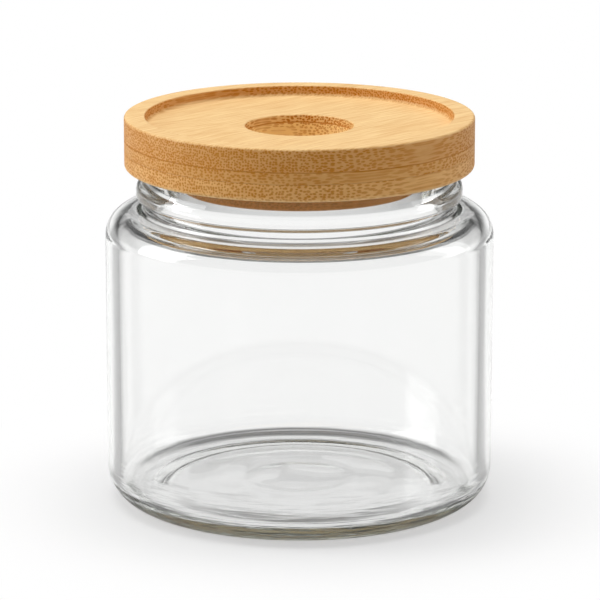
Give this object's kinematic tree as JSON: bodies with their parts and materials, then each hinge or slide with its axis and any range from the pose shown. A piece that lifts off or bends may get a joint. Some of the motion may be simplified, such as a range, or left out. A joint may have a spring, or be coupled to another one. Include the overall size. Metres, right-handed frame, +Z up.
{
  "type": "sourdough starter jar",
  "caption": "Straight-sided clear glass starter jar with a round shoulder and beaded neck, closed by a recessed laminated bamboo lid with a finger hole.",
  "frame": {"origin": "centre of the jar's foot, at the level it stands on", "axes": "+Z up, along the axis of the jar and the lid; +X to the right and +Y away in the front view"},
  "size_m": [0.1, 0.1, 0.1009],
  "materials": {
    "clear_glass": "clear, fire-polished",
    "bamboo_face": "satin clear lacquer",
    "bamboo_core": "satin clear lacquer"
  },
  "bodies": {
    "jar": {"glass_jar": "clear_glass"},
    "lid": {"lid_top_ply": "bamboo_face", "lid_middle_ply": "bamboo_core", "lid_bottom_ply": "bamboo_core", "lid_plug": "bamboo_core"}
  },
  "joints": [
    {"name": "lid_lift", "type": "slide", "parent": "jar", "child": "lid", "axis": [0, 0, 1], "range_m": [0, 0.03]}
  ]
}
